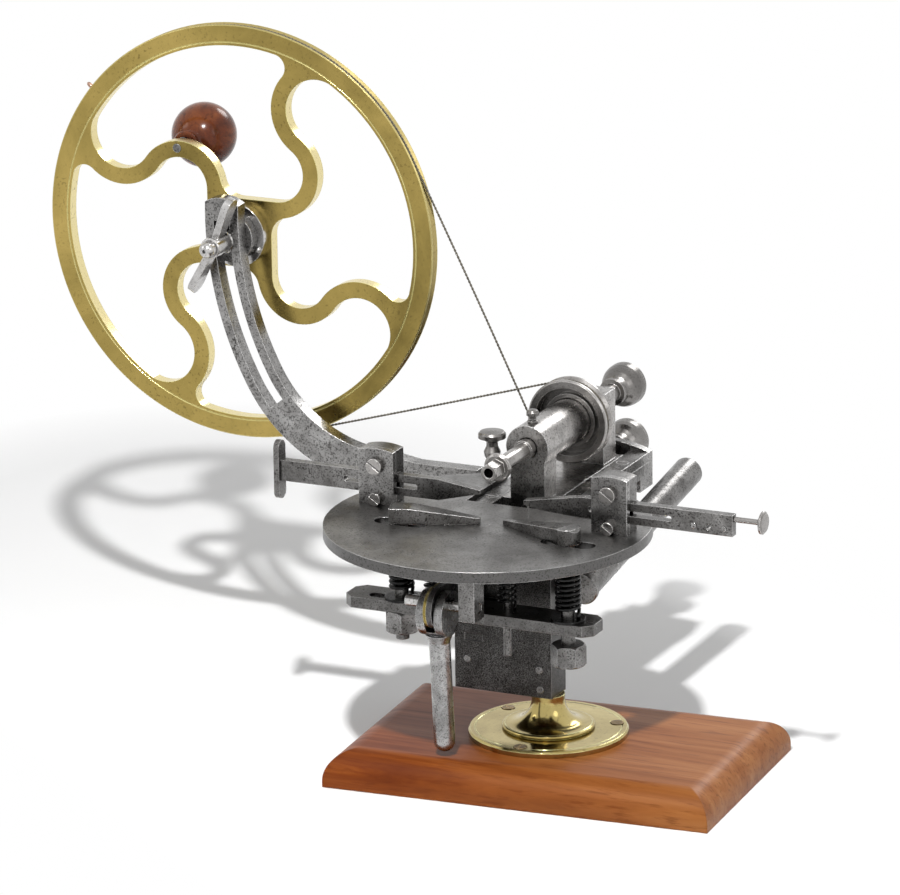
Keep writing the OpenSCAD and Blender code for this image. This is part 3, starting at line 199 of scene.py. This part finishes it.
def painted_corner_shade(nt, amount):
    """Painted shade: high in corners and under neighbours, where less light reaches."""
    ao = nt.nodes.new("ShaderNodeAmbientOcclusion")
    ao.samples = LOOKUP_SAMPLES
    ao.inputs["Distance"].default_value = CORNER_SHADE_REACH
    return remap(nt, ao.outputs["AO"], amount, 0.0, *CORNER_SHADE_SPAN)


def faces_along(nt, axis):
    """1 on faces square to the piece's own axis, 0 on the sides between them; the mask for painted light and
    shade by facing.
    """
    tc = nt.nodes.new("ShaderNodeTexCoord")
    sep = nt.nodes.new("ShaderNodeSeparateXYZ")
    nt.links.new(tc.outputs["Normal"], sep.inputs[0])
    return remap(nt, maths(nt, "ABSOLUTE", sep.outputs[axis]), 0.0, 1.0, *FACE_SPAN)


# Metal and wood

METAL_STOPS = (0.30, 0.50, 0.70)
WOOD_STOPS = (0.28, 0.50, 0.74)
PIT_AND_SHADE_COLOUR = (0.022, 0.020, 0.018)
GRAIN_DEPTH = 0.08 * MM
PORE_DEPTH = 0.1 * MM
PORE_BUMP = 0.06
WOOD_EDGE = 0.6 * MM
WOOD_SCALE = 26.0
NONE = (0, 0, 0)


def metal(name, tones, rough, scale, speck, cover=0.4, grain=1450.0, pit_and_shade_col=PIT_AND_SHADE_COLOUR, even=0.6,
          bump=0.15, edge_wear_and_highlight=0.95, corner_shade=0.6, painted_wall_shading=None, metallic=1.0):
    """Mottled metal: clouds in the colour, dark pits of two sizes, painted shade in corners, edges made
    paler by abrasion and a painted highlight, and optional painted shading on the sides between faces.
    """
    material, nt, bsdf = new_material(name)
    v = coords(nt)
    clouds = noise(nt, v, scale, 6.0, 0.62, 0.4)
    fine = noise(nt, v, grain, 2.0, 0.55)
    pits = noise(nt, v, grain * 0.5, 3.0, 0.6, 0.5)
    patches = noise(nt, v, scale * 2.6, 4.0, 0.6)
    normal = rounded(nt, EDGE_ROUND)
    col = ramp(nt, clouds, list(zip(METAL_STOPS, tones)))
    # Painted light and shade by facing: the sides between the faces take their own tone.
    if painted_wall_shading:
        axis, painted_wall_col = painted_wall_shading
        col = mix(nt, faces_along(nt, axis), painted_wall_col, col)
    full = (speck, speck, speck)
    small = ramp(nt, fine, [(cover - 0.05, full), (cover + 0.03, NONE)])
    large = ramp(nt, pits, [(cover - 0.09, full), (cover - 0.04, NONE)])
    either = maths(nt, "MAXIMUM", small, large)
    spots = maths(nt, "MULTIPLY", either, remap(nt, patches, 1.0, even, 0.36, 0.62))
    col = mix(nt, spots, col, pit_and_shade_col)
    # Painted shade: the pit colour laid into corners and under neighbours.
    col = mix(nt, painted_corner_shade(nt, corner_shade), col, pit_and_shade_col)
    # Edges made paler: partly abrasion, partly a painted highlight.
    wear_and_highlight_col = tuple(min(0.92, c * 1.8 + 0.14) for c in tones[-1])
    wear_and_highlight = maths(nt, "MULTIPLY", edge_wear_and_highlight_mask(nt, normal), remap(nt, patches, edge_wear_and_highlight, edge_wear_and_highlight * 0.4))
    col = mix(nt, wear_and_highlight, col, wear_and_highlight_col)
    nt.links.new(col, bsdf.inputs["Base Color"])
    bsdf.inputs["Metallic"].default_value = metallic
    nt.links.new(remap(nt, patches, rough[1], rough[0]), bsdf.inputs["Roughness"])
    bumped(nt, bsdf, fine, bump, GRAIN_DEPTH, normal)
    return material


def wood(name, tones, along, rough, coat, paler_along_x=None):
    """Streaked wood with pores; an optional set of paler tones takes over along X, within a given stretch of
    X.
    """
    material, nt, bsdf = new_material(name)
    v = coords(nt, along)
    grain = noise(nt, v, WOOD_SCALE, 8.0, 0.62, 0.9)
    fine = noise(nt, v, WOOD_SCALE * 6, 4.0, 0.6, 0.2)
    col = ramp(nt, grain, list(zip(WOOD_STOPS, tones)))
    if paler_along_x:
        pale_tones, x0, x1 = paler_along_x
        sep = nt.nodes.new("ShaderNodeSeparateXYZ")
        nt.links.new(coords(nt), sep.inputs[0])
        pale = ramp(nt, grain, list(zip(WOOD_STOPS, pale_tones)))
        col = mix(nt, remap(nt, sep.outputs["X"], 0.0, 1.0, x0, x1), col, pale)
    pores = ramp(nt, fine, [(0.34, (0.5, 0.5, 0.5)), (0.46, NONE)])
    col = mix(nt, pores, col, tones[0])
    nt.links.new(col, bsdf.inputs["Base Color"])
    nt.links.new(remap(nt, grain, rough + 0.1, rough), bsdf.inputs["Roughness"])
    bsdf.inputs["Coat Weight"].default_value = coat
    bsdf.inputs["Coat Roughness"].default_value = 0.14
    bsdf.inputs["Specular IOR Level"].default_value = 0.12
    bumped(nt, bsdf, fine, PORE_BUMP, PORE_DEPTH, rounded(nt, WOOD_EDGE))
    return material


def grey(value, warmth=0.0):
    """Grey that leans towards red and away from blue."""
    return (value + warmth, value, value - warmth * 0.9)


def greys(values, warmths=(0.0, 0.0, 0.0)):
    return [grey(v, w) for v, w in zip(values, warmths)]


# Materials, each with its dark, middle and light tone

steel = metal("aged_steel", greys((0.10, 0.18, 0.29), (0.004, 0.005, 0.006)),
              rough=(0.22, 0.36), scale=70, speck=0.92, cover=0.43)
# Paler steel for the headstock: partly its own tone, partly painted light for its base, which lies in shade.
headstock_steel_painted_light = metal("headstock_steel_painted_light", greys((0.24, 0.38, 0.52), (0.010, 0.013, 0.014)),
                        rough=(0.22, 0.34), scale=80, speck=0.85, cover=0.42, corner_shade=0.4)
machined = metal("machined_steel", greys((0.17, 0.28, 0.40), (0.004, 0.006, 0.006)),
                 rough=(0.20, 0.34), scale=80, speck=0.92, cover=0.44, bump=0.1)
turned = metal("turned_steel", greys((0.22, 0.32, 0.42), (0.009, 0.013, 0.014)),
               rough=(0.18, 0.28), scale=50, speck=0.6, cover=0.38, bump=0.04)
knob_steel = metal("knob_steel", greys((0.13, 0.20, 0.29), (0.006, 0.009, 0.011)),
                   rough=(0.24, 0.34), scale=50, speck=0.6, cover=0.38, bump=0.04)
bright = metal("bright_steel", greys((0.34, 0.48, 0.62), (0.008, 0.010, 0.010)),
               rough=(0.14, 0.24), scale=70, speck=0.7, cover=0.38, bump=0.06, corner_shade=0.35)
dark = metal("dark_steel", greys((0.08, 0.14, 0.22), (0.003, 0.004, 0.005)),
             rough=(0.24, 0.40), scale=75, speck=0.85, cover=0.43)
# The table's sides take a darker grey: painted shade.
tabletop = metal("table_steel", greys((0.13, 0.21, 0.30), (0.004, 0.005, 0.004)),
                 rough=(0.26, 0.42), scale=46, speck=0.75, cover=0.42, grain=1400,
                 painted_wall_shading=(2, grey(0.13, 0.003)))
pitted = metal("pitted_steel", greys((0.06, 0.105, 0.17), (0.002, 0.003, 0.003)),
               rough=(0.30, 0.46), scale=70, speck=0.95, cover=0.51, grain=2700,
               pit_and_shade_col=(0.012, 0.011, 0.010), even=0.85, bump=0.35, edge_wear_and_highlight=0.9)
lever_steel = metal("lever_steel", greys((0.18, 0.30, 0.44), (0.003, 0.003, 0.003)),
                    rough=(0.22, 0.36), scale=110, speck=0.75, cover=0.42, grain=1500, corner_shade=0.4)
black = metal("black_steel", greys((0.012, 0.022, 0.05)),
              rough=(0.18, 0.30), scale=80, speck=0.2, grain=900, bump=0.08, edge_wear_and_highlight=0.3, corner_shade=0.2)
# The wheel's sides take a much paler brass: a painted highlight.
brass = metal("wheel_brass", [(0.20, 0.148, 0.042), (0.365, 0.272, 0.080), (0.54, 0.40, 0.125)],
              rough=(0.18, 0.30), scale=13, speck=0.55, cover=0.37, grain=800, pit_and_shade_col=(0.10, 0.07, 0.022),
              even=0.2, bump=0.05, corner_shade=0.4, painted_wall_shading=(1, (0.80, 0.69, 0.36)))
bright_brass = metal("pedestal_brass", [(0.33, 0.255, 0.09), (0.46, 0.37, 0.145), (0.57, 0.47, 0.21)],
                     rough=(0.10, 0.20), scale=30, speck=0.4, cover=0.36, grain=800,
                     pit_and_shade_col=(0.14, 0.10, 0.04), bump=0.04, corner_shade=0.5)
screw_brass = metal("screw_brass", [(0.17, 0.11, 0.045), (0.28, 0.19, 0.08), (0.40, 0.28, 0.13)],
                    rough=(0.25, 0.42), scale=90, speck=0.4)
bronze = metal("bush_bronze", [(0.15, 0.10, 0.04), (0.26, 0.18, 0.075), (0.36, 0.26, 0.12)],
               rough=(0.3, 0.45), scale=70, speck=0.3)
copper = metal("copper_peg", [(0.30, 0.17, 0.12), (0.44, 0.28, 0.21), (0.56, 0.38, 0.30)],
               rough=(0.2, 0.35), scale=300, speck=0.3, corner_shade=0.3)
cord_mat = metal("cord_fibre", [(0.06, 0.052, 0.04), (0.11, 0.098, 0.075), (0.19, 0.17, 0.135)],
                 rough=(0.6, 0.85), scale=400, speck=0.3, corner_shade=0.2, edge_wear_and_highlight=0.0, metallic=0.0)
pale_board = [(0.20, 0.060, 0.012), (0.29, 0.105, 0.027), (0.38, 0.160, 0.050)]
board_wood = wood("board_wood", [(0.10, 0.018, 0.002), (0.19, 0.043, 0.006), (0.29, 0.082, 0.015)],
                  along=(0.28, 3.6, 3.6), rough=0.34, coat=0.03, paler_along_x=(pale_board, -0.05, 0.10))
knob_wood = wood("knob_wood", [(0.030, 0.007, 0.003), (0.095, 0.022, 0.007), (0.20, 0.058, 0.016)],
                 along=(2.2, 1.0, 2.2), rough=0.16, coat=0.3)

by_slot = {
    "board_wood": board_wood, "knob_wood": knob_wood, "bright_brass": bright_brass, "brass": brass,
    "screw_brass": screw_brass, "bush_bronze": bronze, "steel": steel, "dark_steel": dark,
    "bright_steel": bright, "table_steel": tabletop, "pitted_steel": pitted, "black_steel": black,
    "cord": cord_mat,
}
own_material = (
    (lever_steel, ["cam_lever"]),
    (headstock_steel_painted_light, ["headstock"]),
    (dark, ["knob_pin", "clamp_bar"]),
    (turned, ["spindle", "drive_pulley", "post_screws", "plunger"]),
    (knob_steel, ["draw_knob", "feed_knob", "thumb_screw", "oil_cap"]),
    (bright, ["hub_plate", "wing_nut"]),
    (machined, ["slide_rivets", "bed", "gib_strips", "bed_end_plate", "post_caps", "wheel_arm",
                "axle_collar"]),
    (steel, ["left_slide_bar", "right_slide_bar", "left_cross_plate", "bolt_nuts", "finger_bolts"]),
)
by_piece = {piece: material for material, pieces in own_material for piece in pieces}
slot_of = {s["node"]: s["material_slot"] for s in frame["record"]["subparts"]}
for name, o in nodes.items():
    o.data.materials.clear()
    o.data.materials.append(by_piece.get(name) or by_slot[slot_of[name]])


# Round wire, strands and pegs as rings of points joined to a skin

ALONG_Y = Vector((0, 1, 0))
ALONG_Z = Vector((0, 0, 1))


def tube(name, rings, sides, closed, material):
    me = bpy.data.meshes.new(name)
    verts = [tuple(p) for ring in rings for p in ring]
    n = len(rings)
    faces = []
    for i in range(n if closed else n - 1):
        a, b = i * sides, ((i + 1) % n) * sides
        for k in range(sides):
            q = (k + 1) % sides
            faces.append((a + k, a + q, b + q, b + k))
    if not closed:
        faces.append(tuple(range(sides))[::-1])
        faces.append(tuple(range((n - 1) * sides, n * sides)))
    me.from_pydata(verts, [], faces)
    me.update()
    bm = bmesh.new()
    bm.from_mesh(me)
    bmesh.ops.recalc_face_normals(bm, faces=bm.faces)
    bm.to_mesh(me)
    bm.free()
    for p in me.polygons:
        p.use_smooth = True
    o = bpy.data.objects.new(name, me)
    scene.collection.objects.link(o)
    me.materials.append(material)
    return o


def ring_at(p, t, side, r, sides):
    up = t.cross(side).normalized()
    return [p + r * (math.cos(2 * math.pi * k / sides) * side + math.sin(2 * math.pi * k / sides) * up)
            for k in range(sides)]


# Springs

SPRING_TURNS = 10
STEPS_PER_TURN = 28
END_STEPS = 3
END_RISE = 1.9
WIRE_SIDES = 12
springs = (
    ("clamp_springs", 1.7 * MM, 11.4 * MM),
    ("guide_springs", 1.2 * MM, 8.4 * MM),
)


def helix(name, centre, r, wire, z0, z1):
    low, high = z0 + END_RISE * wire, z1 - END_RISE * wire
    n = SPRING_TURNS * STEPS_PER_TURN
    pts = [Vector((r, 0, z0)), Vector((r, 0, z0 + wire))]
    for i in range(END_STEPS, n - END_STEPS + 1):
        a = 2 * math.pi * i / STEPS_PER_TURN
        pts.append(Vector((r * math.cos(a), r * math.sin(a), low + (high - low) * i / n)))
    pts += [Vector((r, 0, z1 - wire)), Vector((r, 0, z1))]
    rings = []
    last = len(pts) - 1
    for i, p in enumerate(pts):
        t = ALONG_Z
        if 0 < i < last:
            t = ((pts[i + 1] - p).normalized() + (p - pts[i - 1]).normalized()).normalized()
        side = Vector((p.x, p.y, 0)).normalized()
        rings.append(ring_at(p + centre, t, side, wire / 2, WIRE_SIDES))
    return tube(name, rings, WIRE_SIDES, False, black)


def centre_of(node, left):
    """Middle of the left or the right one of a node's two solids, seen from above."""
    vs = [v.co for v in nodes[node].data.vertices]
    mid = sum((v.x for v in vs)) / len(vs)
    part = [v for v in vs if (v.x < mid) == left]
    xs = [v.x for v in part]
    ys = [v.y for v in part]
    return Vector(((min(xs) + max(xs)) / 2, (min(ys) + max(ys)) / 2, 0))


for node, wire, outer in springs:
    lo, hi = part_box(node)
    for side_name in ("left", "right"):
        centre = centre_of(node, side_name == "left")
        o = helix(f"{node}_{side_name}", centre, outer / 2 - wire / 2, wire, lo.z, hi.z)
        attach(o, "frame")
        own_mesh(o)
        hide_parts(node)


# Twisted cord along the same crossed route as the solid it stands for

CORD_D = 1.1 * MM
CORD_SWAY = 0.85 * MM
CORD_STEP = 0.6 * MM
WHEEL_GROOVE = 0.8 * MM
PULLEY_GROOVE = 1.0 * MM
TWIST_LENGTH = 3.4 * MM
STRAND_R = CORD_D * 0.27
STRAND_SIDES = 6
STRANDS = 2


def centre_and_radius(node):
    lo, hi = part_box(node)
    return Vector(((lo.x + hi.x) / 2, (lo.z + hi.z) / 2)), (hi.z - lo.z) / 2


def on_circle(centre, r, a, y):
    return Vector((centre.x + r * math.cos(a), y, centre.y + r * math.sin(a)))


def cord_route(wheel, wheel_r, pulley, pulley_r, y):
    """Closed line of points: a run, the wrap round the pulley, the run back and the wrap round the wheel."""
    line = pulley - wheel
    lean = math.atan2(line.y, line.x)
    off = math.acos((wheel_r + pulley_r) / line.length)
    wrap = 2 * math.pi - 2 * off
    pts = []

    def run(p, q, sway):
        n = max(2, round((q - p).length / CORD_STEP))
        for i in range(n):
            t = i / n
            pts.append(p.lerp(q, t) + Vector((0, sway * math.sin(math.pi * t), 0)))

    def arc(centre, r, a0, sweep):
        n = max(2, round(abs(sweep) * r / CORD_STEP))
        pts.extend(on_circle(centre, r, a0 + sweep * i / n, y) for i in range(n))

    start, back = lean + off, lean - off
    run(on_circle(wheel, wheel_r, start, y), on_circle(pulley, pulley_r, start + math.pi, y), CORD_SWAY)
    arc(pulley, pulley_r, start + math.pi, wrap)
    run(on_circle(pulley, pulley_r, back + math.pi, y), on_circle(wheel, wheel_r, back, y), -CORD_SWAY)
    arc(wheel, wheel_r, back, -wrap)
    return pts


def cord_strand(name, route, lay, phase):
    """One strand, wound round the route once in each lay."""
    rings = []
    run_l = 0.0
    for i, p in enumerate(route):
        ahead = route[(i + 1) % len(route)]
        t = (ahead - route[i - 1]).normalized()
        up = t.cross(ALONG_Y).normalized()
        a = 2 * math.pi * run_l / lay + phase
        shift = (CORD_D / 2 - STRAND_R) * (math.cos(a) * ALONG_Y + math.sin(a) * up)
        rings.append(ring_at(p + shift, t, ALONG_Y, STRAND_R, STRAND_SIDES))
        run_l += (ahead - p).length
    return tube(name, rings, STRAND_SIDES, True, cord_mat)


wheel_c, wheel_r = centre_and_radius("drive_wheel")
pulley_c, pulley_r = centre_and_radius("drive_pulley")
cord_lo, cord_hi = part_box("drive_cord")
groove_y = (cord_lo.y + cord_hi.y) / 2
route = cord_route(wheel_c, wheel_r - WHEEL_GROOVE, pulley_c, pulley_r - PULLEY_GROOVE, groove_y)
route_l = sum((b - a).length for a, b in zip(route, route[1:] + route[:1]))
lay = route_l / round(route_l / TWIST_LENGTH)
for strand in range(STRANDS):
    o = cord_strand(f"cord_strand_{strand + 1}", route, lay, strand * math.pi)
    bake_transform(o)
    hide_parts("drive_cord")


# Copper peg on the rim, just in front of the cord

PEG_ANGLE = math.radians(140.6)
PEG_R = 1.05 * MM
PEG_L = 4.2 * MM
PEG_SUNK = 1.6 * MM
PEG_GAP = 0.1 * MM
PEG_SIDES = 20
PEG_PROFILE = [(0.0, 1.0), (0.55, 1.0), (0.72, 0.94), (0.86, 0.78), (0.95, 0.52), (1.0, 0.18)]

peg_y = groove_y - CORD_D / 2 - PEG_GAP - PEG_R
peg_out = Vector((math.cos(PEG_ANGLE), 0, math.sin(PEG_ANGLE)))
peg_base = on_circle(wheel_c, wheel_r - PEG_SUNK, PEG_ANGLE, peg_y)
peg_rings = [ring_at(peg_base + peg_out * PEG_L * h, peg_out, ALONG_Y, PEG_R * w, PEG_SIDES)
             for h, w in PEG_PROFILE]
rim_peg = tube("rim_peg", peg_rings, PEG_SIDES, False, copper)
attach(rim_peg, "wheel")


# Camera from the photo

PHOTO_W = 900
FOCAL_PX = 6544.8
SENSOR = 36
AZIMUTH = math.radians(25.08)
ELEVATION = math.radians(16.88)
ROLL = math.radians(-0.79)
DISTANCE = 2819.5 * MM
TARGET = Vector((-46.32, -7.43, 142.6)) * MM

cam_data = bpy.data.cameras.new("photo_camera")
cam = bpy.data.objects.new("photo_camera", cam_data)
scene.collection.objects.link(cam)
scene.camera = cam
away = Vector((math.sin(AZIMUTH) * math.cos(ELEVATION), -math.cos(AZIMUTH) * math.cos(ELEVATION),
               math.sin(ELEVATION)))
cam.location = TARGET + DISTANCE * away
look = (-away).to_track_quat("-Z", "Y").to_matrix().to_4x4()
cam.matrix_world = Matrix.Translation(cam.location) @ look @ Matrix.Rotation(ROLL, 4, "Z")
cam_data.sensor_width = SENSOR
cam_data.sensor_fit = "HORIZONTAL"
cam_data.lens = FOCAL_PX / PHOTO_W * SENSOR
cam_data.clip_end = 50


# Paper floor that turns plain white outside the stretch where the shadows fall

FLOOR_REACH = 6
FLOOR_DROP = 0.0002
SHADE_FROM = Vector((-0.30, 0.26, 0))
SHADE_TO = Vector((0.05, -0.02, 0))
SHADE_FADE = (0.13, 0.21)
PAPER_SCALE = 3.0


def floor_paper():
    material, nt, bsdf = new_material("floor_paper")
    paper = noise(nt, coords(nt), PAPER_SCALE)
    white_paper = ramp(nt, paper, [(0.3, (0.92, 0.92, 0.92)), (0.7, (0.94, 0.94, 0.94))])
    nt.links.new(white_paper, bsdf.inputs["Base Color"])
    bsdf.inputs["Roughness"].default_value = 0.9
    bsdf.inputs["Specular IOR Level"].default_value = 0.0
    place = nt.nodes.new("ShaderNodeNewGeometry").outputs["Position"]
    span = SHADE_TO - SHADE_FROM
    past = vector_maths(nt, "SUBTRACT", place, SHADE_FROM)[0]
    reach = vector_maths(nt, "DOT_PRODUCT", past, span)["Value"]
    along = remap(nt, reach, 0, 1, 0, span.length_squared)
    line = nt.nodes.new("ShaderNodeCombineXYZ")
    for axis, length in enumerate(span):
        line.inputs[axis].default_value = length
    nearest = vector_maths(nt, "SCALE", line.outputs[0], along)[0]
    gap = vector_maths(nt, "DISTANCE", past, nearest)["Value"]
    far = remap(nt, gap, 0, 1, *SHADE_FADE)
    glow = nt.nodes.new("ShaderNodeEmission")
    fade = nt.nodes.new("ShaderNodeMixShader")
    nt.links.new(maths(nt, "MULTIPLY", far, seen(nt)), fade.inputs[0])
    nt.links.new(bsdf.outputs[0], fade.inputs[1])
    nt.links.new(glow.outputs[0], fade.inputs[2])
    nt.links.new(fade.outputs[0], nt.nodes["Material Output"].inputs[0])
    return material


floor_mesh = bpy.data.meshes.new("floor")
floor_corners = [(x * FLOOR_REACH, y * FLOOR_REACH, 0) for x, y in ((-1, -1), (1, -1), (1, 1), (-1, 1))]
floor_mesh.from_pydata(floor_corners, [], [(0, 1, 2, 3)])
floor = bpy.data.objects.new("floor", floor_mesh)
scene.collection.objects.link(floor)
floor.location.z = -FLOOR_DROP
floor_mesh.materials.append(floor_paper())


# Lamps: name, place, aim, size and power

AIM = (-0.10, 0.03, 0.12)
lamps = (
    ("key", (0.13, -0.65, 1.02), AIM, 0.05, 14),
    ("window", (1.3, -0.5, 0.8), AIM, 0.7, 2),
    ("side", (-1.2, -0.5, 0.9), AIM, 0.5, 1.5),
    ("back", (0.05, 1.1, 0.85), (0.02, 0.04, 0.17), 0.5, 4.5),
)
for name, place, aim, size, power in lamps:
    lamp = bpy.data.lights.new(name, "AREA")
    lamp.shape = "DISK"
    lamp.size = size
    lamp.energy = power
    o = bpy.data.objects.new(name, lamp)
    scene.collection.objects.link(o)
    o.location = place
    o.rotation_euler = (Vector(aim) - Vector(place)).to_track_quat("-Z", "Y").to_euler()


# World: white where it is seen, a dim gradient as light on the object

SKY_STRENGTH = 0.38

world = bpy.data.worlds.new("studio")
scene.world = world
world.use_nodes = True
wn = world.node_tree
wn.nodes.clear()
world_out = wn.nodes.new("ShaderNodeOutputWorld")
sky_place = wn.nodes.new("ShaderNodeTexCoord")
sky_sep = wn.nodes.new("ShaderNodeSeparateXYZ")
wn.links.new(sky_place.outputs["Generated"], sky_sep.inputs[0])
sky = ramp(wn, remap(wn, sky_sep.outputs["Z"], 0, 1, -1, 1),
           [(0.46, (0.25, 0.25, 0.25)), (0.60, (0.42, 0.42, 0.42)), (0.80, (0.80, 0.80, 0.80))])
soft = wn.nodes.new("ShaderNodeBackground")
soft.inputs["Strength"].default_value = SKY_STRENGTH
wn.links.new(sky, soft.inputs["Color"])
white = wn.nodes.new("ShaderNodeBackground")
white.inputs["Color"].default_value = (1, 1, 1, 1)
white.inputs["Strength"].default_value = 1.0
blend = wn.nodes.new("ShaderNodeMixShader")
wn.links.new(seen(wn), blend.inputs[0])
wn.links.new(soft.outputs[0], blend.inputs[1])
wn.links.new(white.outputs[0], blend.inputs[2])
wn.links.new(blend.outputs[0], world_out.inputs[0])

scene.view_settings.view_transform = "Standard"
